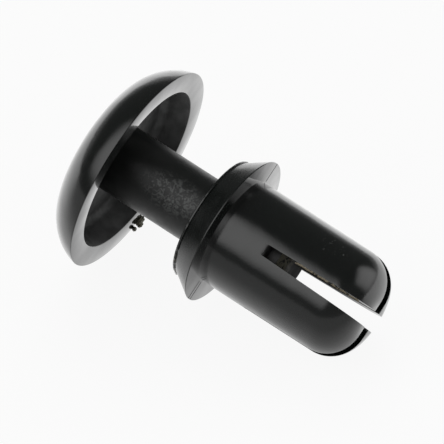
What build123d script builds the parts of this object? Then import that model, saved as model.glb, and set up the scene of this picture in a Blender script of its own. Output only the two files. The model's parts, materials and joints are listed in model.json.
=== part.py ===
from build123d import *
from math import asin, atan2, cos, hypot, pi, radians, sin
import os

# Plastic push rivet in two mouldings: a mushroom-headed plunger, and the split sleeve that it
# is pushed into. Sizes are in millimetres. Both are turned about one axis, their own Z, which
# runs from the head's rim at zero towards the leg tips. They are then laid down together.

# Head of the plunger
head_d = 7.6            # across the rim
head_height = 1.85      # crown above the rim
rim_draft = 11.5        # degrees, lean of the outer wall where it meets the rim
shoulder_r = 1.9        # rounding between that wall and the crown
rim_width = 0.76        # flat ring that presses on the panel

# Stem of the plunger
stem_d = 2.4
stem_length = 6.46      # from the rim to the nose
stem_root_r = 0.15      # fillet where the stem leaves the head
nose_chamfer = 0.3      # cone that starts to spread the legs

# Sleeve
barrel_d = 3.9          # for a 4 mm panel hole
barrel_length = 5.72    # from the flange to the leg tips
tip_round = 1.24        # rounding of the leg tips
flange_d = 5.42         # widest edge, on the panel side
flange_front_d = 4.24   # where its cone ends, on the head side
flange_height = 0.91
flange_land = 0.06      # straight edge at its widest
lip_width = 0.08        # flash that stands out round the front edge
lip_height = 0.06
lead_in = 0.12          # chamfer at the mouth of the bore

# Crossed slots that leave the sleeve with four legs
slot_root = 1.8         # unslotted length of the barrel, from the flange
slot_root_width = 0.42
slot_tip_width = 0.63
tip_hole_d = 0.5        # where the tapered bore would end, inside the crossing of the slots
slot_turn = 38.3        # degrees from straight up, seen along the axis

# Retaining bead on the stem, and its groove in the sleeve
bead_height = 0.06
bead_width = 0.32
bead_place = 0.8        # from the flange, towards the tips

# How far the head stands off the panel before it is pushed in
stroke = 3.97

# Clearances
bore_clearance = 0.04   # round the stem
bead_clearance = 0.03   # over the bead and beside it
nest_clearance = 0.58   # round the flange's front edge when the head closes over it
seat_clearance = 0.05   # in front of the flange when the rim is on the panel
nose_clearance = 0.05   # from the nose to where the legs begin to close in

# Places along the axis
flange_back = stroke
flange_front = flange_back - flange_height
tips = flange_back + barrel_length
bead_centre = flange_back + bead_place
taper_start = stem_length + nose_clearance

# Radii that follow from the sizes above
head_r = head_d / 2
stem_r = stem_d / 2
barrel_r = barrel_d / 2
flange_r = flange_d / 2
flange_front_r = flange_front_d / 2
bore_r = stem_r + bore_clearance
lip_r = flange_front_r + lip_width
recess_floor_r = lip_r + nest_clearance
recess_depth = flange_height + seat_clearance


def outer_dome():
    """The crown's arc and the shoulder's, from the crown's top to the rim, meeting smoothly."""
    draft = radians(rim_draft)
    centre_r = head_r - shoulder_r * cos(draft)
    centre_z = shoulder_r * sin(draft)
    # The crown's arc has its centre on the axis and encloses the shoulder's circle.
    fall = head_height + centre_z
    crown_r = (centre_r**2 + fall**2 - shoulder_r**2) / (2 * (fall - shoulder_r))
    crown_z = crown_r - head_height
    join = atan2(centre_r, crown_z - centre_z)
    middle = (join + pi / 2 - draft) / 2
    top = (0, -head_height)
    crown_middle = (crown_r * sin(join / 2), crown_z - crown_r * cos(join / 2))
    meeting = (crown_r * sin(join), crown_z - crown_r * cos(join))
    shoulder_middle = (
        centre_r + shoulder_r * sin(middle),
        centre_z - shoulder_r * cos(middle),
    )
    crown = ThreePointArc(top, crown_middle, meeting)
    shoulder = ThreePointArc(meeting, shoulder_middle, (head_r, 0))
    return [crown, shoulder]


def quarter_round(start, end, centre, radius):
    """A quarter circle from start to end."""
    lean = atan2((start[1] + end[1]) / 2 - centre[1], (start[0] + end[0]) / 2 - centre[0])
    through = (centre[0] + radius * cos(lean), centre[1] + radius * sin(lean))
    return ThreePointArc(start, through, end)


def turned(edges):
    """The solid that a closed outline of radius and height sweeps about the axis."""
    outline = Plane.XZ * make_face(Wire(edges))
    return revolve(outline, Axis.Z)


def make_plunger():
    floor = -recess_depth
    fillet_start = (stem_r + stem_root_r, floor)
    fillet_end = (stem_r, floor + stem_root_r)
    fillet_centre = (stem_r + stem_root_r, floor + stem_root_r)
    bead_start = (stem_r, bead_centre - bead_width / 2)
    bead_top = (stem_r + bead_height, bead_centre)
    bead_end = (stem_r, bead_centre + bead_width / 2)
    recess = Polyline(
        (head_r, 0), (head_r - rim_width, 0), (recess_floor_r, floor), fillet_start
    )
    nose = Polyline(
        bead_end,
        (stem_r, stem_length - nose_chamfer),
        (stem_r - nose_chamfer, stem_length),
        (0, stem_length),
        (0, -head_height),
    )
    return turned([
        *outer_dome(),
        *recess.edges(),
        quarter_round(fillet_start, fillet_end, fillet_centre, stem_root_r),
        Line(fillet_end, bead_start),
        ThreePointArc(bead_start, bead_top, bead_end),
        *nose.edges(),
    ])


def make_sleeve():
    round_start = (barrel_r, tips - tip_round)
    round_end = (barrel_r - tip_round, tips)
    round_centre = (barrel_r - tip_round, tips - tip_round)
    groove_half = bead_width / 2 + bead_clearance
    groove_start = (bore_r, bead_centre + groove_half)
    groove_top = (stem_r + bead_height + bead_clearance, bead_centre)
    groove_end = (bore_r, bead_centre - groove_half)
    cone_height = flange_height - flange_land
    cone_r = flange_front_r + (flange_r - flange_front_r) * lip_height / cone_height
    flange = Polyline(
        (bore_r + lead_in, flange_front),
        (lip_r, flange_front),
        (lip_r, flange_front + lip_height),
        (cone_r, flange_front + lip_height),
        (flange_r, flange_back - flange_land),
        (flange_r, flange_back),
        (barrel_r, flange_back),
        round_start,
    )
    inside = Polyline(round_end, (tip_hole_d / 2, tips), (bore_r, taper_start), groove_start)
    mouth = Polyline(
        groove_end, (bore_r, flange_front + lead_in), (bore_r + lead_in, flange_front)
    )
    body = turned([
        *flange.edges(),
        quarter_round(round_start, round_end, round_centre, tip_round),
        *inside.edges(),
        ThreePointArc(groove_start, groove_top, groove_end),
        *mouth.edges(),
    ])
    return body - PolarLocations(0, 2, slot_turn, 180) * slot_cutter()


def slot_cutter():
    """A wedge through the whole barrel, from the slot's root to past the tips."""
    root = flange_back + slot_root
    past = tips + barrel_length - slot_root
    root_half = slot_root_width / 2
    past_half = slot_tip_width - root_half
    wedge = make_face(Polyline(
        (-root_half, root), (root_half, root), (past_half, past), (-past_half, past), close=True
    ))
    return extrude(Plane.YZ * wedge, barrel_d, both=True)


def lying_place():
    """Where the rivet comes to rest on a table: on the head's rim and on one leg's rounded tip."""
    span = tips - tip_round
    drop = head_r - (barrel_r - tip_round)
    slope = atan2(drop, span) - asin(tip_round / hypot(drop, span))
    up = (sin(slope), 0, cos(slope))
    along = (cos(slope), 0, -sin(slope))
    return Plane((0, 0, head_r * cos(slope)), x_dir=up, z_dir=along).location


pieces = {"plunger": make_plunger(), "sleeve": make_sleeve()}
place = lying_place()
laid = {name: place * piece for name, piece in pieces.items()}
middle = Compound(list(laid.values())).bounding_box().center()

os.makedirs("parts", exist_ok=True)
for name, piece in laid.items():
    export_step(Pos(-middle.X, 0, 0) * piece, f"parts/{name}.step")

print("axis starts at", place.position - Vector(middle.X, 0, 0))
print("axis direction", (place * Pos(0, 0, 1)).position - place.position)
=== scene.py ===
"""A black nylon push rivet lying on a pale table: its plunger, its split sleeve and the studio round it."""

import json
import math

import bpy
from mathutils import Matrix, Vector


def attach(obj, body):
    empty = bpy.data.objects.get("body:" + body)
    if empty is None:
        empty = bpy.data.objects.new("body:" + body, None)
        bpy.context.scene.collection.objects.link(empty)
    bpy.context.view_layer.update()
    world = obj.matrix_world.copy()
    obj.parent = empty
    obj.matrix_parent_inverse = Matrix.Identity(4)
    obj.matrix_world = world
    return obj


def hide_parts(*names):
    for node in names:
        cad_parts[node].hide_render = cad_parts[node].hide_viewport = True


bl_info = {
    "name": "Push rivet",
    "version": (1, 0, 0),
    "blender": (4, 5, 0),
    "location": "3D View > Sidebar > Push rivet",
    "description": "Models a moulded push rivet, its mould marks and the stage it is shown on",
    "category": "Add Mesh",
}

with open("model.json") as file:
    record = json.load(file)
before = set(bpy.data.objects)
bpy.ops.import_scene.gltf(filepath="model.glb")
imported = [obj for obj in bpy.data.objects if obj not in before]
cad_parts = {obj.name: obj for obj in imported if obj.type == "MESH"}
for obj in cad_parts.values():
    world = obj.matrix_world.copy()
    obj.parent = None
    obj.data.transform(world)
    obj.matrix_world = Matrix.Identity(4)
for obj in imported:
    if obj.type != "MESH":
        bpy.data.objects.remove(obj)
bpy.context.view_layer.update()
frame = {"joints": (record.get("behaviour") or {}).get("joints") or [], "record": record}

MM = 0.001

# What the CAD model's record says of the joint and the barrel
SLIDE = frame["joints"][0]
MOUNTS = {mount["name"]: mount for mount in frame["record"]["mounts"]}
SHANK = MOUNTS["shank"]
SHANK_MIDDLE = Vector(SHANK["pos_m"])
SHANK_LENGTH = SHANK["dims"]["length_mm"] * MM
BARREL_R = SHANK["dims"]["r_mm"] * MM
STROKE = SLIDE["range_m"][1]

# The rivet's axis, from the head's rim towards the leg tips, and the direction straight up from it
ALONG = Vector(SLIDE["axis"]).normalized()
UPWARDS = (Vector((0, 0, 1)) - ALONG * ALONG.z).normalized()
RIM_CENTRE = SHANK_MIDDLE - ALONG * (SHANK_LENGTH / 2 + STROKE)
TURN = Matrix((UPWARDS, ALONG.cross(UPWARDS), ALONG)).transposed()
PLACE = Matrix.Translation(RIM_CENTRE) @ TURN.to_4x4()

# Fineness of the meshes, and the degrees from which an edge is rounded and from which it stays sharp
SPIN_STEPS = 192
BARREL_RINGS = 12
EDGE_ANGLE = 25.0
SMOOTH_ANGLE = 30

# How near two points merge, and how near a face counts as on a height or a radius
MERGE_DISTANCE = 0.002 * MM
CLOSE = 0.01 * MM

# How far in from the barrel's skin a face counts as inside, in edge roundings
SKIN_ROUNDINGS = 1.5

# The flange's lip: where it was torn as an angle round the axis, what share of its raggedness the far side
# has, how sharply that falls off, the numbers of jags round it, and the share of its size that its points
# may be off
LIP_TORN_SIDE = math.radians(115)
LIP_TORN_ELSEWHERE = 0.25
LIP_TORN_FOCUS = 3
LIP_JAGS = (11, 23, 37, 61)
LIP_MARGIN = 0.1

# Lines that the mould's halves left on the flange's panel side: degrees from the first slot, and mm sideways.
# Then their width and depth, and how far their cutter passes the flange's edge, in mm
PARTING_LINES = ((-90, 0.0), (90, -0.12), (90, 0.12))
PARTING_WIDTH = 0.055
PARTING_DEPTH = 0.06
PARTING_PAST = 0.06

# Lumps of the torn gate: distance from the axis, degrees round it, height, and half-sizes outwards, along the
# edge and along the axis, in mm
GATE_LUMPS = (
    (3.77, 198.0, 0.05, (0.1, 0.2, 0.11)),
    (3.8, 196.6, 0.12, (0.07, 0.12, 0.09)),
    (3.81, 192.8, 0.06, (0.07, 0.08, 0.08)),
)

# Dents of a lump: the share they take, and the waves that make them, by x, y, z and shift
DENT_DEPTH = 0.06
DENT_WAVES = ((5, 3, 0, 0), (0, 7, -4, 1), (6, 0, 9, 2))

# Bead of flash along the slot's edge, from one height to another, with its half-thickness, how far it stands
# into the slot and its unevenness, in mm. Then the share of the half-thickness that is sunk into the barrel,
# the number of steps, and the waves that make it uneven, by their turn at each step and their shift
BEAD_HEIGHTS = (6.9, 9.35)
BEAD_HALF = 0.032
BEAD_OUT = 0.04
BEAD_UNEVEN = 0.006
BEAD_SUNK = 0.3
BEAD_STEPS = 60
BEAD_WAVES = ((1.7, 0), (0.61, 1))

# Refractive index of nylon, and of the smooth skin that the mould leaves on it
NYLON_IOR = 1.53
SKIN_IOR = 1.5

# Unevenness of the moulded skin: sizes in mm of its mottle, its grain and its slow waves, the depth in mm of
# those waves, which bend the reflections, and the strength of the grain. The real grain is finer than this,
# and is drawn as coarse as it needs to be to show
MOTTLE_SIZE = 0.35
GRAIN_SIZE = 0.07
WAVE_SIZE = 1.1
WAVE_DEPTH = 0.02
GRAIN_STRENGTH = 0.5

# The mottle's range that counts, and the shares of a finish's roughness between which it varies
MOTTLE_RANGE = (0.3, 0.7)
ROUGHNESS_SPREAD = (0.8, 1.25)

# How much rougher than a dull core the deep hollow is, and nylon that was torn
HOLLOW_DULLNESS = 1.25
TORN_DULLNESS = 1.3

# Marks by their centre and reach in mm on the rivet's own axes, upwards, to the side and along, by their
# grain in mm, and by how much stays bare between the specks, from 0 to 1
STEM_SCUFFS = ((0.9, 0.85, 1.9), (0.85, 0.85, 1.6), 0.15, 0.47)
# The nose's specks are painted light: pale marks where the nose shows through the slot and catches light
NOSE_PAINTED_LIGHT = ((0.8, 0.63, 6.4), (0.75, 0.75, 0.6), 0.16, 0.4)
# The slot wall's specks are painted light: pale marks where that wall catches light from the table
SLOT_WALL_PAINTED_LIGHT = ((1.69, 1.01, 8.2), (0.45, 0.45, 2.0), 0.5, 0.35)
LEG_SPECKS = ((1.93, -0.3, 7.6), (0.5, 0.6, 0.8), 0.12, 0.66)
ALL_OVER = ((0.0, 0.0, 4.0), (30.0, 30.0, 30.0), 0.2, 0.34)
LIP_FLASH = ((-0.9, 1.95, 3.1), (1.1, 0.9, 0.3), 0.3, 0.4)

# Share of a mark's reach within which it is strongest, softness of its specks, and how twisted they are
MARK_CORE = 0.35
SPECK_SOFTNESS = 0.14
SPECK_TWIST = 1.5

# Camera: it looks down on the lying rivet, legs nearer than the head
CAMERA_AZIMUTH = 34.1
CAMERA_ELEVATION = 41.6
LENS_MM = 1200.0
SENSOR_MM = 36.0
CLIP_SHARES = (0.1, 10)  # nearest and farthest that it sees, as shares of its distance
PHOTO_SIDE = 444
MM_PER_PIXEL = 0.0336
RIM_CENTRE_PIXEL = (137.5, 169.8)

# Lamps: name, degrees to the camera's right, degrees up, sides in metres, radiance, if reflections show it
LAMPS = (
    ("left_softbox", -66, 49, (0.47, 0.46), 0.98, True),
    ("right_softbox", 99, 27, (0.33, 0.37), 0.92, True),
    ("back_lamp", 180, 50, (0.3, 0.3), 2.6, False),
)
LAMP_DISTANCE = 0.3  # metres
LAMP_FADE = (0.01, 0.25)  # from the lamp's middle to its edge, by squared distance

# Room, as the rivet's reflections show it
ROOM_LEVEL = (0.09, 0.17)  # its brightness, behind and towards the camera
BACKDROP_LEVEL = 0.3  # what the low backdrop behind the rivet adds to it
BACKDROP_RISE = (0.03, 0.27)  # sines of the heights between which the backdrop fades out
BACKDROP_SIDE = (-0.7, -0.25)  # directions to the camera between which it gets weaker
BACKDROP_REST = 0.1  # share of it that is left on the camera's side

# Table
FLOOR_SIDE = 1.2  # metres
FLOOR_DROP = 0.002  # mm below the rivet
FLOOR_SHADOW = 0.08  # share of the lit table in what the camera sees, the rest being plain white
FLOOR_TURN = 18.0  # degrees from the camera's line to the one along which the table's glow falls off
FLOOR_FADE = (-4.3, 8.2)  # mm along that line between which it does
PAINTED_FLOOR_GLOW = (1.05, 0.34)  # brightness of the table in reflections, before and after
PAINTED_SHADOW_CENTRE = (2.2, 2.8)  # mm, centre of a painted shadow of the rivet on the table behind it, seen in reflections
PAINTED_SHADOW_TURN = 53.0  # degrees
PAINTED_SHADOW_REACH = (5.4, 3.4)  # mm
PAINTED_SHADOW_CORE = 0.3  # share of that reach where it is darkest
PAINTED_SHADOW_DARK = 0.1  # share of the glow that is left there


def length(name, value, description):
    """A length that can be set, in metres, with its default given in millimetres."""
    return bpy.props.FloatProperty(
        name=name, description=description, default=value * MM, min=0.0, unit="LENGTH", precision=5
    )


def angle(name, value, description):
    """An angle that can be set, with its default given in degrees."""
    return bpy.props.FloatProperty(
        name=name, description=description, default=math.radians(value), subtype="ANGLE"
    )


def linear(code):
    """A colour written as an sRGB hex value, as the linear numbers that a shader takes."""
    shares = [int(code[i : i + 2], 16) / 255 for i in (1, 3, 5)]
    return [s / 12.92 if s <= 0.04045 else ((s + 0.055) / 1.055) ** 2.4 for s in shares]


def colour(name, code, description):
    """A colour that can be set, with its default given as an sRGB hex value."""
    return bpy.props.FloatVectorProperty(
        name=name, description=description, default=linear(code), size=3, min=0.0, max=1.0, subtype="COLOR"
    )


def share(name, value, description):
    """A number from 0 to 1 that can be set."""
    return bpy.props.FloatProperty(
        name=name, description=description, default=value, min=0.0, max=1.0, subtype="FACTOR"
    )


class Finishes(bpy.types.PropertyGroup):
    """Colours and finishes of the mouldings and the table."""

    nylon: colour("Nylon", "#0f1311", "Body colour of the black nylon")
    scuff: colour("Scuffs", "#7d807e", "Pale marks where the nylon has been rubbed")
    # The torn colour also serves as painted light, on the nose and on one slot wall
    torn: colour("Torn nylon", "#7b7867", "Where the moulding was torn off its runner")
    # The flash colour is painted light: pale and warm for light that shines through the thin flash
    flash: colour("Flash", "#8a806b", "Thin flash along the slot, which light comes through")
    table: colour("Table", "#f4f4f4", "Table top")
    ground: share("Ground", 0.07, "Roughness where the mould's parting faces were ground: rim and panel side")
    polished: share("Polished", 0.17, "Roughness where the mould was polished: head and barrel")
    cored: share("Cored", 0.45, "Roughness where the mould's cores were left dull: hollow, stem and slots")
    turned: share("Turned", 0.26, "Roughness where the mould was only turned: the flange's cone")


class PlungerSizes(bpy.types.PropertyGroup):
    """Sizes of the plunger, as moulded."""

    head_d: length("Head", 7.6, "Across the head's rim")
    head_height: length("Head height", 1.85, "Crown above the rim")
    rim_draft: angle("Rim draft", 11.5, "Lean of the head's wall where it meets the rim")
    shoulder_r: length("Shoulder", 1.9, "Rounding between the head's wall and its crown")
    rim_width: length("Rim width", 0.76, "Flat ring round the hollow")
    floor_r: length("Hollow floor", 2.78, "Radius of the hollow's floor")
    hollow_depth: length("Hollow depth", 0.96, "From the rim to the hollow's floor")
    hollow_round: length("Hollow rounding", 0.35, "Rounding between the hollow's wall and floor")
    stem_d: length("Stem", 2.4, "Across the stem")
    stem_length: length("Stem length", 6.46, "From the rim to the nose")
    root_round: length("Root rounding", 0.15, "Fillet where the stem leaves the head")
    nose_chamfer: length("Nose chamfer", 0.3, "Cone at the nose")
    bead_height: length("Bead height", 0.06, "Retaining bead above the stem")
    bead_width: length("Bead width", 0.32, "Retaining bead along the stem")
    bead_place: length("Bead place", 0.8, "Bead's distance past the flange")
    edge_round: length("Edge rounding", 0.025, "Softness of the moulded edges")


class SleeveSizes(bpy.types.PropertyGroup):
    """Sizes of the sleeve, as moulded."""

    tip_round: length("Tip rounding", 1.24, "Rounding of the leg tips")
    flange_d: length("Flange", 5.42, "Across the flange's widest edge")
    flange_front_d: length("Flange front", 4.24, "Across the flange's front face")
    flange_height: length("Flange height", 0.91, "From the front face to the panel side")
    flange_land: length("Flange land", 0.035, "Straight edge at the flange's widest")
    lip_width: length("Lip width", 0.1, "Flash that stands out round the front edge")
    lip_height: length("Lip height", 0.075, "Thickness of that flash")
    lip_round: length("Lip rounding", 0.045, "Rounding of that flash on the head side")
    lip_rag: length("Lip raggedness", 0.05, "How far that flash comes and goes where it was torn")
    lead_in: length("Lead-in", 0.12, "Chamfer at the mouth of the bore")
    bore_clearance: length("Bore clearance", 0.04, "Gap round the stem")
    bead_clearance: length("Bead clearance", 0.03, "Gap over the bead and beside it")
    nose_clearance: length("Nose clearance", 0.05, "From the nose to where the bore closes in")
    tip_hole_d: length("Tip hole", 0.5, "Where the tapered bore would end")
    slot_root: length("Slot root", 1.8, "Unslotted length of the barrel")
    slot_root_width: length("Slot width at root", 0.42, "Slot width at its root")
    slot_tip_width: length("Slot width at tips", 0.63, "Slot width at the leg tips")
    slot_turn: angle("Slot turn", 38.3, "Turn of the first slot from straight up, seen along the axis")
    edge_round: length("Edge rounding", 0.02, "Softness of the moulded edges")


def add_node(tree, kind, settings=None, links=None, **values):
    """A new node with its settings, its input values, and links to its inputs from other nodes' outputs."""
    node = tree.nodes.new(kind)
    for name, value in (settings or {}).items():
        setattr(node, name, value)
    for name, value in values.items():
        node.inputs[name.replace("_", " ")].default_value = value
    for name, output in (links or {}).items():
        tree.links.new(output, node.inputs[name])
    return node


def new_material(name):
    """An empty node material."""
    material = bpy.data.materials.new(name)
    material.use_nodes = True
    material.node_tree.nodes.clear()
    return material, material.node_tree


def on_the_rivet(tree):
    """Object coordinates turned onto the rivet's own axis, in metres."""
    back = PLACE.inverted()
    place = add_node(tree, "ShaderNodeTexCoord").outputs["Object"]
    return add_node(
        tree,
        "ShaderNodeMapping",
        {"vector_type": "POINT"},
        {"Vector": place},
        Location=back.translation,
        Rotation=back.to_euler(),
    ).outputs[0]


def moulded_nylon(name, look, roughness, grain_mm, skin=1.0):
    """Black nylon as it leaves the mould: a nearly black body under a skin that mirrors the room, more so at
    grazing angles. The mould's finish sets how sharp that mirror is, and slow waves bend what it shows."""
    material, tree = new_material(name)
    place = on_the_rivet(tree)
    mottle = add_node(
        tree, "ShaderNodeTexNoise", links={"Vector": place}, Scale=1 / (MOTTLE_SIZE * MM), Detail=4.0
    )
    uneven = add_node(
        tree,
        "ShaderNodeMapRange",
        links={"Value": mottle.outputs[0]},
        From_Min=MOTTLE_RANGE[0],
        From_Max=MOTTLE_RANGE[1],
        To_Min=roughness * ROUGHNESS_SPREAD[0],
        To_Max=roughness * ROUGHNESS_SPREAD[1],
    )
    grain = add_node(
        tree, "ShaderNodeTexNoise", links={"Vector": place}, Scale=1 / (GRAIN_SIZE * MM), Detail=3.0
    )
    waves = add_node(
        tree, "ShaderNodeTexNoise", links={"Vector": place}, Scale=1 / (WAVE_SIZE * MM), Detail=1.0
    )
    wavy = add_node(
        tree, "ShaderNodeBump", links={"Height": waves.outputs[0]}, Strength=1.0, Distance=WAVE_DEPTH * MM
    ).outputs[0]
    bump = add_node(
        tree,
        "ShaderNodeBump",
        links={"Height": grain.outputs[0], "Normal": wavy},
        Strength=GRAIN_STRENGTH,
        Distance=grain_mm * MM,
    ).outputs[0]
    shader = add_node(
        tree,
        "ShaderNodeBsdfPrincipled",
        links={"Roughness": uneven.outputs[0], "Normal": bump, "Coat Normal": bump},
        Base_Color=(*look.nylon, 1),
        IOR=NYLON_IOR,
        Coat_Weight=skin,
        Coat_Roughness=roughness * ROUGHNESS_SPREAD[0],
        Coat_IOR=SKIN_IOR,
    )
    add_node(tree, "ShaderNodeOutputMaterial", links={"Surface": shader.outputs["BSDF"]})
    return material


def mark(material, look, tint, strength, spot):
    """Marks a spot of a material with specks of another colour that thin out from its centre."""
    centre, reach, grain, bare = spot
    tree = material.node_tree
    shader = next(node for node in tree.nodes if node.type == "BSDF_PRINCIPLED")
    place = on_the_rivet(tree)
    spread = add_node(
        tree,
        "ShaderNodeMapping",
        {"vector_type": "TEXTURE"},
        {"Vector": place},
        Location=Vector(centre) * MM,
        Scale=Vector(reach) * MM,
    )
    away = add_node(tree, "ShaderNodeVectorMath", {"operation": "LENGTH"}, {0: spread.outputs[0]})
    patch = add_node(
        tree,
        "ShaderNodeMapRange",
        {"interpolation_type": "SMOOTHSTEP"},
        {"Value": away.outputs["Value"]},
        From_Min=MARK_CORE,
        From_Max=1.0,
        To_Min=strength,
        To_Max=0.0,
    )
    scratches = add_node(
        tree,
        "ShaderNodeTexNoise",
        links={"Vector": place},
        Scale=1 / (grain * MM),
        Detail=2.0,
        Distortion=SPECK_TWIST,
    )
    specks = add_node(
        tree,
        "ShaderNodeMapRange",
        {"interpolation_type": "SMOOTHSTEP"},
        {"Value": scratches.outputs[0]},
        From_Min=bare,
        From_Max=bare + SPECK_SOFTNESS,
    )
    marks = add_node(
        tree, "ShaderNodeMath", {"operation": "MULTIPLY"}, {0: patch.outputs[0], 1: specks.outputs[0]}
    ).outputs[0]
    body = add_node(
        tree, "ShaderNodeMix", {"data_type": "RGBA"}, {"Factor": marks}, A=(*look.nylon, 1), B=(*tint, 1)
    )
    tree.links.new(body.outputs["Result"], shader.inputs["Base Color"])


def pale_dull_nylon(name, look, tint):
    """Rough, dull nylon, pale all over in the given tint: on the gate where it was torn off and stretched,
    and on the slot's flash as painted light.
    """
    material = moulded_nylon(name, look, look.cored * TORN_DULLNESS, grain_mm=0.004, skin=0.2)
    mark(material, look, tint, strength=1.0, spot=ALL_OVER)
    return material


def deselect_all():
    """Clears the selection, so that the next step works only on what it adds or picks."""
    bpy.ops.object.select_all(action="DESELECT")


def arc(centre, radius, start, end, steps):
    """Points of an arc in the outline's plane, from one angle to another, in degrees."""
    angles = [math.radians(start + (end - start) * i / steps) for i in range(steps + 1)]
    return [(centre[0] + radius * math.cos(a), centre[1] + radius * math.sin(a)) for a in angles]


def chain(name, points):
    """A point that is extruded through a list of places, which leaves the new piece in edit mode."""
    deselect_all()
    bpy.ops.mesh.primitive_plane_add(size=MM, location=(0, 0, 0))
    piece = bpy.context.object
    piece.name = name
    bpy.ops.object.mode_set(mode="EDIT")
    bpy.ops.mesh.merge(type="CENTER")
    bpy.ops.transform.translate(value=points[0])
    for before, after in zip(points, points[1:]):
        move = tuple(b - a for a, b in zip(before, after))
        bpy.ops.mesh.extrude_region_move(TRANSFORM_OT_translate={"value": move})
    return piece


def turned(name, outline, closed):
    """A solid swept about the axis: a point is extruded along the outline and the chain is spun."""
    piece = chain(name, [(radius, 0, height) for radius, height in outline])
    bpy.ops.mesh.select_all(action="SELECT")
    if closed:
        bpy.ops.mesh.remove_doubles(threshold=MERGE_DISTANCE)
    bpy.ops.mesh.spin(steps=SPIN_STEPS, angle=math.tau, center=(0, 0, 0), axis=(0, 0, 1))
    bpy.ops.mesh.select_all(action="SELECT")
    bpy.ops.mesh.remove_doubles(threshold=MERGE_DISTANCE)
    bpy.ops.mesh.normals_make_consistent(inside=False)
    bpy.ops.object.mode_set(mode="OBJECT")
    return piece


def finish_modifier(piece, kind, **settings):
    """Adds a modifier with its settings and applies it."""
    modifier = piece.modifiers.new(kind.title(), kind)
    for name, value in settings.items():
        setattr(modifier, name, value)
    bpy.context.view_layer.objects.active = piece
    bpy.ops.object.modifier_apply(modifier=modifier.name)


def cube(place, scale):
    """A cube of one unit that is stretched and put in its place, with both kept in its mesh."""
    deselect_all()
    bpy.ops.mesh.primitive_cube_add(size=1, location=place)
    piece = bpy.context.object
    piece.scale = scale
    bpy.ops.object.transform_apply(location=True, rotation=False, scale=True)
    return piece


def cut(piece, cutter):
    """Takes a cutter's room out of a piece, and then removes the cutter."""
    finish_modifier(piece, "BOOLEAN", object=cutter, operation="DIFFERENCE", solver="EXACT")
    bpy.data.objects.remove(cutter)


def soften_edges(piece, width):
    """Rounds the moulded edges a little, so that they catch the light."""
    finish_modifier(
        piece,
        "BEVEL",
        width=width,
        segments=3,
        limit_method="ANGLE",
        angle_limit=math.radians(EDGE_ANGLE),
        harden_normals=False,
    )


def finish_faces(piece, finishes):
    """Gives each face the first finish whose test of its radius and height passes."""
    for material, _ in finishes:
        piece.data.materials.append(material)
    for face in piece.data.polygons:
        radius, height = math.hypot(face.center.x, face.center.y), face.center.z
        face.material_index = next(i for i, (_, test) in enumerate(finishes) if test(radius, height))


def set_down(piece, body):
    """Puts a finished piece in its place on the lying rivet, keeps that in its mesh, and lets it ride."""
    piece.matrix_world = PLACE @ piece.matrix_world
    deselect_all()
    piece.select_set(True)
    bpy.context.view_layer.objects.active = piece
    bpy.ops.object.transform_apply(location=True, rotation=True, scale=True)
    bpy.ops.object.shade_smooth_by_angle(angle=math.radians(SMOOTH_ANGLE))
    finish_modifier(piece, "WEIGHTED_NORMAL", weight=100, keep_sharp=True)
    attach(piece, body)


def dome(size):
    """The head's outside, from its rim to the crown: a shoulder arc and a crown arc that meet smoothly."""
    head_r = size.head_d / 2
    draft = size.rim_draft
    centre_r = head_r - size.shoulder_r * math.cos(draft)
    centre_z = size.shoulder_r * math.sin(draft)
    fall = size.head_height + centre_z
    crown_r = (centre_r**2 + fall**2 - size.shoulder_r**2) / (2 * (fall - size.shoulder_r))
    crown_z = crown_r - size.head_height
    join = math.degrees(math.atan2(centre_r, crown_z - centre_z))
    shoulder = arc((centre_r, centre_z), size.shoulder_r, -math.degrees(draft), join - 90, steps=28)
    crown = arc((0, crown_z), crown_r, join - 90, -90, steps=16)
    return shoulder + crown[1:-1] + [(0, -size.head_height)]


def fillet(corner, before, after, radius, steps):
    """Points of an arc that rounds an outline's corner, tangent to both of its sides."""
    corner, before, after = Vector(corner), Vector(before), Vector(after)
    back, on = (before - corner).normalized(), (after - corner).normalized()
    half = back.angle(on) / 2
    centre = corner + (back + on).normalized() * (radius / math.sin(half))
    start = corner + back * (radius / math.tan(half)) - centre
    turn = start.angle_signed(corner + on * (radius / math.tan(half)) - centre)
    points = []
    for i in range(steps + 1):
        spoke = start.copy()
        spoke.rotate(Matrix.Rotation(-turn * i / steps, 2))
        points.append(tuple(centre + spoke))
    return points


def plunger_outline(size):
    """Radii and heights of the plunger's half section, from the nose along the stem and round the head."""
    stem_r = size.stem_d / 2
    head_r = size.head_d / 2
    floor = -size.hollow_depth
    mouth_r = head_r - size.rim_width
    bead = STROKE + size.bead_place
    half = size.bead_width / 2
    sag = size.bead_height
    bead_r = (half**2 + sag**2) / (2 * sag)
    open_angle = math.degrees(math.asin(half / bead_r))
    bead_arc = arc((stem_r + sag - bead_r, bead), bead_r, open_angle, -open_angle, steps=8)
    root = fillet((stem_r, floor), (stem_r, 0), (mouth_r, floor), size.root_round, steps=6)
    hollow = fillet((size.floor_r, floor), (stem_r, floor), (mouth_r, 0), size.hollow_round, steps=6)
    return [
        (0, size.stem_length),
        (stem_r - size.nose_chamfer, size.stem_length),
        (stem_r, size.stem_length - size.nose_chamfer),
        *bead_arc,
        *root,
        *hollow,
        (mouth_r, 0),
        *dome(size),
    ]


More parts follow.
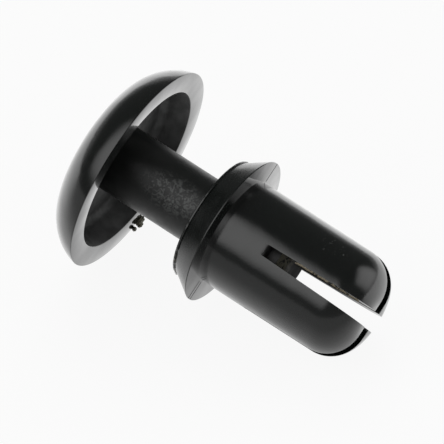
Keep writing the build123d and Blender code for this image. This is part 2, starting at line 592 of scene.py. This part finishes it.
def sleeve_outline(size, plunger):
    """Radii and heights of the sleeve's half section, from the bore's mouth over the flange and back."""
    stem_r = plunger.stem_d / 2
    bore_r = stem_r + size.bore_clearance
    flange_r = size.flange_d / 2
    front_r = size.flange_front_d / 2
    back = STROKE
    front = back - size.flange_height
    tips = back + SHANK_LENGTH + size.tip_round
    lip_r = front_r + size.lip_width
    lip = arc((lip_r - size.lip_round, front + size.lip_round), size.lip_round, -90, 0, steps=4)
    cone_r = front_r + (flange_r - front_r) * size.lip_height / (size.flange_height - size.flange_land)
    bead = back + plunger.bead_place
    half = plunger.bead_width / 2 + size.bead_clearance
    sag = stem_r + plunger.bead_height + size.bead_clearance - bore_r
    groove_r = (half**2 + sag**2) / (2 * sag)
    open_angle = math.degrees(math.asin(half / groove_r))
    groove = arc((bore_r + sag - groove_r, bead), groove_r, open_angle, -open_angle, steps=8)
    tip = arc((BARREL_R - size.tip_round, tips - size.tip_round), size.tip_round, 0, 90, steps=24)
    rings = [(BARREL_R, back + SHANK_LENGTH * (i + 0.5) / BARREL_RINGS) for i in range(BARREL_RINGS)]
    return [
        (bore_r + size.lead_in, front),
        *lip,
        (lip_r, front + size.lip_height),
        (cone_r, front + size.lip_height),
        (flange_r, back - size.flange_land),
        (flange_r, back),
        (BARREL_R, back),
        *rings,
        *tip,
        (size.tip_hole_d / 2, tips),
        (bore_r, plunger.stem_length + size.nose_clearance),
        *groove,
        (bore_r, front + size.lead_in),
        (bore_r + size.lead_in, front),
    ]


def slot_cutter(size, turn):
    """A wedge through the barrel from the slot's root to past the tips: a cube with one face made wider."""
    root = STROKE + size.slot_root
    tips = STROKE + SHANK_LENGTH + size.tip_round
    tall = 2 * (tips - root)
    right_through = 4 * BARREL_R
    cutter = cube((0, 0, root + tall / 2), (right_through, size.slot_root_width, tall))
    past_width = 2 * size.slot_tip_width - size.slot_root_width
    for vertex in cutter.data.vertices:
        if vertex.co.z > root + tall / 2:
            vertex.co.y *= past_width / size.slot_root_width
    cutter.data.transform(Matrix.Rotation(turn, 4, "Z"))
    return cutter


def tear_lip(piece, size):
    """Makes the flange's lip ragged, most of all on the side where it was torn."""
    inner_r = size.flange_front_d / 2 + size.lip_width * (1 - LIP_MARGIN)
    top = STROKE - size.flange_height + size.lip_height * (1 + LIP_MARGIN)
    for vertex in piece.data.vertices:
        radius = math.hypot(vertex.co.x, vertex.co.y)
        if radius < inner_r or vertex.co.z > top:
            continue
        around = math.atan2(vertex.co.y, vertex.co.x)
        facing = max(0.0, math.cos(around - LIP_TORN_SIDE)) ** LIP_TORN_FOCUS
        torn_side = LIP_TORN_ELSEWHERE + (1 - LIP_TORN_ELSEWHERE) * facing
        jag = sum(math.sin(around * waves + waves * waves) for waves in LIP_JAGS) / len(LIP_JAGS)
        grow = 1 + size.lip_rag * torn_side * jag / radius
        vertex.co.x *= grow
        vertex.co.y *= grow


def parting_cutter(size, turn, offset):
    """A thin bar that cuts a parting line into the flange's panel side, from the barrel to the edge."""
    reach = size.flange_d / 2 - BARREL_R
    outwards = BARREL_R + reach / 2 + PARTING_PAST * MM
    cutter = cube((outwards, offset, STROKE), (reach, PARTING_WIDTH * MM, PARTING_DEPTH * MM * 2))
    cutter.data.transform(Matrix.Rotation(turn, 4, "Z"))
    return cutter


class RIVET_OT_plunger(bpy.types.Operator):
    """Models the mushroom-headed plunger and seats it on its CAD node"""

    bl_idname = "rivet.plunger"
    bl_label = "Plunger"

    def execute(self, context):
        size = context.scene.rivet_plunger
        piece = turned("plunger_moulding", plunger_outline(size), closed=False)
        soften_edges(piece, size.edge_round)
        look = context.scene.rivet_finishes
        mouth_r = size.head_d / 2 - size.rim_width
        stem_r = size.stem_d / 2 + size.bead_height + CLOSE
        nose = size.stem_length - size.nose_chamfer - CLOSE
        # Black nylon at the nose: rough and dull, with pale specks painted where it shows through the slot,
        # as painted light for the light it catches there
        torn = moulded_nylon("torn_nose_nylon", look, look.cored * TORN_DULLNESS, grain_mm=0.008, skin=0.3)
        mark(torn, look, look.torn, strength=1.0, spot=NOSE_PAINTED_LIGHT)
        # Black nylon off a dull core, rubbed by the bore: satin, with a patch of fine pale scuffs
        rubbed = moulded_nylon("rubbed_stem_nylon", look, look.cored, grain_mm=0.004, skin=0.5)
        mark(rubbed, look, look.scuff, strength=0.5, spot=STEM_SCUFFS)
        # Black nylon off the core of the hollow, which is left as machined: dull and dark
        cored = moulded_nylon("cored_nylon", look, look.cored * HOLLOW_DULLNESS, grain_mm=0.002, skin=0.25)
        # Black nylon off the mould's ground parting face: the rim mirrors the room sharply
        ground = moulded_nylon("ground_nylon", look, look.ground, grain_mm=0.001)
        # Black nylon off a polished cavity: a crown with soft-edged, slightly wavy reflections
        polished = moulded_nylon("polished_nylon", look, look.polished, grain_mm=0.002)
        finish_faces(
            piece,
            [
                (torn, lambda radius, height: height > nose),
                (rubbed, lambda radius, height: radius < stem_r and height > -size.hollow_depth),
                (cored, lambda radius, height: radius < mouth_r and height > -size.hollow_depth - CLOSE),
                (ground, lambda radius, height: height > -CLOSE),
                (polished, lambda radius, height: True),
            ],
        )
        set_down(piece, "plunger")
        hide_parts("plunger")
        return {"FINISHED"}


def gate_lump(radius, turn, height, reach):
    """A rough lump of nylon on the head's edge, made from a ball by pushing its points in and out."""
    deselect_all()
    bpy.ops.mesh.primitive_ico_sphere_add(subdivisions=4, radius=1.0, location=(0, 0, 0))
    lump = bpy.context.object
    for vertex in lump.data.vertices:
        x, y, z = vertex.co
        vertex.co *= 1 + DENT_DEPTH * sum(math.sin(a * x + b * y + c * z + d) for a, b, c, d in DENT_WAVES)
    lump.scale = Vector(reach) * MM
    lump.location = (radius * MM, 0, height * MM)
    bpy.ops.object.transform_apply(location=True, rotation=False, scale=True)
    lump.data.transform(Matrix.Rotation(math.radians(turn), 4, "Z"))
    return lump


class RIVET_OT_gate(bpy.types.Operator):
    """Models the torn gate that is left on the edge of the head"""

    bl_idname = "rivet.gate"
    bl_label = "Gate mark"

    def execute(self, context):
        lumps = [gate_lump(*lump) for lump in GATE_LUMPS]
        deselect_all()
        for lump in lumps:
            lump.select_set(True)
        bpy.context.view_layer.objects.active = lumps[0]
        bpy.ops.object.join()
        piece = lumps[0]
        piece.name = "gate_vestige"
        look = context.scene.rivet_finishes
        # Black nylon torn off its runner: pale, dull specks all over, which show against the black head
        piece.data.materials.append(pale_dull_nylon("torn_gate_nylon", look, look.torn))
        set_down(piece, "plunger")
        return {"FINISHED"}


class RIVET_OT_flash(bpy.types.Operator):
    """Models the bead of flash that is left along the edge of the slot on the upper side"""

    bl_idname = "rivet.flash"
    bl_label = "Slot flash"

    def execute(self, context):
        size = context.scene.rivet_sleeve
        root = STROKE + size.slot_root
        tips = STROKE + SHANK_LENGTH + size.tip_round
        widening = (size.slot_tip_width - size.slot_root_width) / 2 / (tips - root)
        points = []
        for i in range(BEAD_STEPS + 1):
            z = (BEAD_HEIGHTS[0] + (BEAD_HEIGHTS[1] - BEAD_HEIGHTS[0]) * i / BEAD_STEPS) * MM
            past = max(0.0, z - (STROKE + SHANK_LENGTH))
            skin = BARREL_R - size.tip_round + math.sqrt(size.tip_round**2 - past**2)
            side = size.slot_root_width / 2 + (z - root) * widening
            x = math.sqrt(skin**2 - side**2) - BEAD_HALF * MM * BEAD_SUNK
            uneven = BEAD_UNEVEN * MM * sum(math.sin(i * turn + shift) for turn, shift in BEAD_WAVES)
            points.append((x, uneven - side + BEAD_OUT * MM, z))
        piece = chain("slot_flash", points)
        bpy.ops.object.mode_set(mode="OBJECT")
        bpy.ops.object.convert(target="CURVE")
        piece.data.bevel_depth = BEAD_HALF * MM
        piece.data.bevel_resolution = 2
        piece.data.use_fill_caps = True
        bpy.ops.object.convert(target="MESH")
        piece.data.transform(Matrix.Rotation(size.slot_turn, 4, "Z"))
        piece.data.materials.clear()
        look = context.scene.rivet_finishes
        # Nylon squeezed out where the mould closed: its warm pale colour is painted light, for light that
        # gets in through the thin flash
        piece.data.materials.append(pale_dull_nylon("slot_flash_nylon", look, look.flash))
        set_down(piece, "sleeve")
        return {"FINISHED"}


class RIVET_OT_sleeve(bpy.types.Operator):
    """Models the flanged sleeve with its four legs and seats it on its CAD node"""

    bl_idname = "rivet.sleeve"
    bl_label = "Sleeve"

    def execute(self, context):
        size = context.scene.rivet_sleeve
        outline = sleeve_outline(size, context.scene.rivet_plunger)
        piece = turned("sleeve_moulding", outline, closed=True)
        tear_lip(piece, size)
        for turn in (size.slot_turn, size.slot_turn + math.pi / 2):
            cut(piece, slot_cutter(size, turn))
        soften_edges(piece, size.edge_round)
        for turn, offset in PARTING_LINES:
            cut(piece, parting_cutter(size, size.slot_turn + math.radians(turn), offset * MM))
        look = context.scene.rivet_finishes
        # Black nylon off the dull blades that form the slots, with pale specks painted on one slot wall near
        # its flash, as painted light for the light that wall catches from the table
        cored = moulded_nylon("slot_nylon", look, look.cored, grain_mm=0.003)
        mark(cored, look, look.torn, strength=1.0, spot=SLOT_WALL_PAINTED_LIGHT)
        # Black nylon off a cavity that was turned and left so: a blurred sheen, with torn flash at the lip
        turned_skin = moulded_nylon("flange_nylon", look, look.turned, grain_mm=0.002)
        mark(turned_skin, look, look.torn, strength=0.9, spot=LIP_FLASH)
        # Black nylon off the mould's ground parting face: the panel side mirrors the room sharply
        ground = moulded_nylon("panel_side_nylon", look, look.ground, grain_mm=0.001)
        # Black nylon off a polished cavity: long soft-edged highlights, with a few pale specks on one leg
        polished = moulded_nylon("barrel_nylon", look, look.polished, grain_mm=0.003)
        mark(polished, look, look.scuff, strength=1.0, spot=LEG_SPECKS)
        skin_r = BARREL_R - size.edge_round * SKIN_ROUNDINGS
        tips = STROKE + SHANK_LENGTH
        finish_faces(
            piece,
            [
                (turned_skin, lambda radius, height: height < STROKE - CLOSE),
                (ground, lambda radius, height: height < STROKE + CLOSE),
                (cored, lambda radius, height: radius < skin_r and height < tips),
                (polished, lambda radius, height: True),
            ],
        )
        set_down(piece, "sleeve")
        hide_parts("sleeve")
        return {"FINISHED"}


def from_camera(azimuth, elevation):
    """A direction by its turn from the camera's, to its right, and its height, in degrees."""
    turn = math.radians(CAMERA_AZIMUTH + azimuth)
    lift = math.radians(elevation)
    return Vector((math.sin(turn) * math.cos(lift), -math.cos(turn) * math.cos(lift), math.sin(lift)))


class RIVET_OT_stage(bpy.types.Operator):
    """Lays the floor, sets the lamps and the world, and places the camera"""

    bl_idname = "rivet.stage"
    bl_label = "Stage"

    def execute(self, context):
        add_floor(context.scene.rivet_finishes)
        add_world(context.scene)
        for lamp in LAMPS:
            add_softbox(context.scene, *lamp)
        add_camera(context.scene)
        context.scene.view_settings.view_transform = "Standard"
        return {"FINISHED"}


def seen_level(tree, source, turn=0.0):
    """A place or direction with its X level with the table and towards the camera, or turned from that."""
    place = add_node(tree, "ShaderNodeTexCoord").outputs[source]
    turned_place = add_node(
        tree,
        "ShaderNodeMapping",
        {"vector_type": "POINT"},
        {"Vector": place},
        Rotation=(0, 0, math.radians(90 - CAMERA_AZIMUTH + turn)),
    )
    return add_node(tree, "ShaderNodeSeparateXYZ", links={0: turned_place.outputs[0]}).outputs


def add_floor(look):
    """A white table. In reflections it shows a painted glow, brighter on one side as a lit sweep of paper
    would be, with a painted shadow behind the rivet.
    """
    deselect_all()
    bpy.ops.mesh.primitive_plane_add(size=FLOOR_SIDE, location=(0, 0, -FLOOR_DROP * MM))
    floor = bpy.context.object
    floor.name = "table_top"
    # Matt white paper: it scatters light evenly and has no gloss of its own. Reflections see a painted glow
    # on it instead: an emission that is brighter behind the rivet and holds a painted shadow
    material, tree = new_material("white_table")
    path = add_node(tree, "ShaderNodeLightPath").outputs
    diffuse = add_node(tree, "ShaderNodeBsdfDiffuse", Color=(*look.table, 1)).outputs[0]
    white = add_node(tree, "ShaderNodeEmission", Strength=1.0).outputs[0]
    depth = seen_level(tree, "Object", FLOOR_TURN)["X"]
    painted_glow_falling = add_node(
        tree,
        "ShaderNodeMapRange",
        {"interpolation_type": "SMOOTHSTEP"},
        {"Value": depth},
        From_Min=FLOOR_FADE[0] * MM,
        From_Max=FLOOR_FADE[1] * MM,
        To_Min=PAINTED_FLOOR_GLOW[0],
        To_Max=PAINTED_FLOOR_GLOW[1],
    )
    # Painted shadow of the rivet on the table behind it: the glow is darkened in a turned ellipse
    beside = add_node(
        tree,
        "ShaderNodeMapping",
        {"vector_type": "TEXTURE"},
        {"Vector": add_node(tree, "ShaderNodeTexCoord").outputs["Object"]},
        Location=(PAINTED_SHADOW_CENTRE[0] * MM, PAINTED_SHADOW_CENTRE[1] * MM, 0),
        Rotation=(0, 0, math.radians(PAINTED_SHADOW_TURN)),
        Scale=(PAINTED_SHADOW_REACH[0] * MM, PAINTED_SHADOW_REACH[1] * MM, 1),
    )
    away = add_node(tree, "ShaderNodeVectorMath", {"operation": "LENGTH"}, {0: beside.outputs[0]})
    under = add_node(
        tree,
        "ShaderNodeMapRange",
        {"interpolation_type": "SMOOTHSTEP"},
        {"Value": away.outputs["Value"]},
        From_Min=PAINTED_SHADOW_CORE,
        From_Max=1.0,
        To_Min=PAINTED_SHADOW_DARK,
        To_Max=1.0,
    )
    strength = add_node(
        tree, "ShaderNodeMath", {"operation": "MULTIPLY"}, {0: painted_glow_falling.outputs[0], 1: under.outputs[0]}
    ).outputs[0]
    # Painted glow of the table: an emission that only glossy and transmission rays see
    glow = add_node(tree, "ShaderNodeEmission", links={"Strength": strength}).outputs[0]
    gloss = add_node(
        tree,
        "ShaderNodeMath",
        {"operation": "MAXIMUM"},
        {0: path["Is Glossy Ray"], 1: path["Is Transmission Ray"]},
    ).outputs[0]
    seen = add_node(tree, "ShaderNodeMixShader", links={1: white, 2: diffuse}, Fac=FLOOR_SHADOW).outputs[0]
    by_camera = {0: path["Is Camera Ray"], 1: diffuse, 2: seen}
    first = add_node(tree, "ShaderNodeMixShader", links=by_camera).outputs[0]
    both = add_node(tree, "ShaderNodeMixShader", links={0: gloss, 1: first, 2: glow}).outputs[0]
    add_node(tree, "ShaderNodeOutputMaterial", links={"Surface": both})
    floor.data.materials.append(material)


def add_world(scene):
    """A dim room with a lit backdrop low behind the rivet, and plain white where the camera sees it."""
    world = bpy.data.worlds.new("studio")
    world.use_nodes = True
    scene.world = world
    tree = world.node_tree
    tree.nodes.clear()
    path = add_node(tree, "ShaderNodeLightPath").outputs
    parts = seen_level(tree, "Generated")
    low = add_node(
        tree,
        "ShaderNodeMapRange",
        {"interpolation_type": "SMOOTHSTEP"},
        {"Value": parts["Z"]},
        From_Min=BACKDROP_RISE[0],
        From_Max=BACKDROP_RISE[1],
        To_Min=BACKDROP_LEVEL,
        To_Max=0.0,
    ).outputs[0]
    behind = add_node(
        tree,
        "ShaderNodeMapRange",
        {"interpolation_type": "SMOOTHSTEP"},
        {"Value": parts["X"]},
        From_Min=BACKDROP_SIDE[0],
        From_Max=BACKDROP_SIDE[1],
        To_Min=1.0,
        To_Max=BACKDROP_REST,
    ).outputs[0]
    open_side = add_node(
        tree,
        "ShaderNodeMapRange",
        {"interpolation_type": "SMOOTHSTEP"},
        {"Value": parts["X"]},
        To_Min=ROOM_LEVEL[0],
        To_Max=ROOM_LEVEL[1],
    ).outputs[0]
    strength = add_node(
        tree, "ShaderNodeMath", {"operation": "MULTIPLY_ADD"}, {0: low, 1: behind, 2: open_side}
    ).outputs[0]
    room = add_node(tree, "ShaderNodeBackground", links={"Strength": strength}).outputs[0]
    white = add_node(tree, "ShaderNodeBackground", Color=(1, 1, 1, 1), Strength=1.0).outputs[0]
    by_camera = {0: path["Is Camera Ray"], 1: room, 2: white}
    mix = add_node(tree, "ShaderNodeMixShader", links=by_camera).outputs[0]
    add_node(tree, "ShaderNodeOutputWorld", links={"Surface": mix})


def add_softbox(scene, name, azimuth, elevation, size, radiance, in_gloss):
    """A flat lamp that faces the rivet from a distance, with a given radiance."""
    lamp = bpy.data.lights.new(name, "AREA")
    lamp.shape = "RECTANGLE"
    lamp.size, lamp.size_y = size
    lamp.energy = radiance * math.pi * size[0] * size[1]
    lamp.use_nodes = True
    tree = lamp.node_tree
    tree.nodes.clear()
    across = add_node(tree, "ShaderNodeNewGeometry").outputs["Parametric"]
    centred = add_node(
        tree, "ShaderNodeMapping", {"vector_type": "TEXTURE"}, {"Vector": across}, Location=(0.5, 0.5, 0)
    ).outputs[0]
    squared = add_node(
        tree, "ShaderNodeVectorMath", {"operation": "MULTIPLY"}, {0: centred, 1: centred}
    ).outputs[0]
    away = add_node(tree, "ShaderNodeVectorMath", {"operation": "LENGTH"}, {0: squared}).outputs["Value"]
    even = add_node(
        tree,
        "ShaderNodeMapRange",
        {"interpolation_type": "SMOOTHSTEP"},
        {"Value": away},
        From_Min=LAMP_FADE[0],
        From_Max=LAMP_FADE[1],
        To_Min=1.0,
        To_Max=0.0,
    ).outputs[0]
    glow = add_node(tree, "ShaderNodeEmission", links={"Strength": even}).outputs[0]
    add_node(tree, "ShaderNodeOutputLight", links={"Surface": glow})
    towards = from_camera(azimuth, elevation)
    item = bpy.data.objects.new(name, lamp)
    scene.collection.objects.link(item)
    item.location = towards * LAMP_DISTANCE
    item.rotation_euler = towards.to_track_quat("Z", "Y").to_euler()
    item.visible_camera = False
    item.visible_glossy = in_gloss


def add_camera(scene):
    """A far camera with a long lens, which holds the rim's centre at its pixel."""
    turn = math.radians(CAMERA_AZIMUTH)
    right = Vector((math.cos(turn), math.sin(turn), 0))
    back = from_camera(0, CAMERA_ELEVATION)
    up = back.cross(right)
    across = PHOTO_SIDE * MM_PER_PIXEL * MM
    distance = LENS_MM / SENSOR_MM * across
    off_x = (PHOTO_SIDE / 2 - RIM_CENTRE_PIXEL[0]) * MM_PER_PIXEL * MM
    off_y = (RIM_CENTRE_PIXEL[1] - PHOTO_SIDE / 2) * MM_PER_PIXEL * MM
    target = RIM_CENTRE + right * off_x + up * off_y
    data = bpy.data.cameras.new("camera")
    data.lens = LENS_MM
    data.sensor_width = SENSOR_MM
    data.clip_start = distance * CLIP_SHARES[0]
    data.clip_end = distance * CLIP_SHARES[1]
    camera = bpy.data.objects.new("camera", data)
    scene.collection.objects.link(camera)
    camera.location = target + back * distance
    camera.rotation_euler = back.to_track_quat("Z", "Y").to_euler()
    scene.camera = camera


class RIVET_PT_panel(bpy.types.Panel):
    """Lists the pieces of the rivet and the stage"""

    bl_idname = "RIVET_PT_panel"
    bl_label = "Push rivet"
    bl_space_type = "VIEW_3D"
    bl_region_type = "UI"
    bl_category = "Push rivet"

    def draw(self, context):
        for operator in OPERATORS:
            self.layout.operator(operator.bl_idname)


OPERATORS = (RIVET_OT_plunger, RIVET_OT_gate, RIVET_OT_sleeve, RIVET_OT_flash, RIVET_OT_stage)
CLASSES = (Finishes, PlungerSizes, SleeveSizes, *OPERATORS, RIVET_PT_panel)


def register():
    for item in CLASSES:
        bpy.utils.register_class(item)
    bpy.types.Scene.rivet_finishes = bpy.props.PointerProperty(type=Finishes)
    bpy.types.Scene.rivet_plunger = bpy.props.PointerProperty(type=PlungerSizes)
    bpy.types.Scene.rivet_sleeve = bpy.props.PointerProperty(type=SleeveSizes)


def unregister():
    del bpy.types.Scene.rivet_sleeve
    del bpy.types.Scene.rivet_plunger
    del bpy.types.Scene.rivet_finishes
    for item in reversed(CLASSES):
        bpy.utils.unregister_class(item)


def main():
    register()
    bpy.ops.rivet.plunger()
    bpy.ops.rivet.gate()
    bpy.ops.rivet.sleeve()
    bpy.ops.rivet.flash()
    bpy.ops.rivet.stage()


if __name__ == "__main__":
    main()
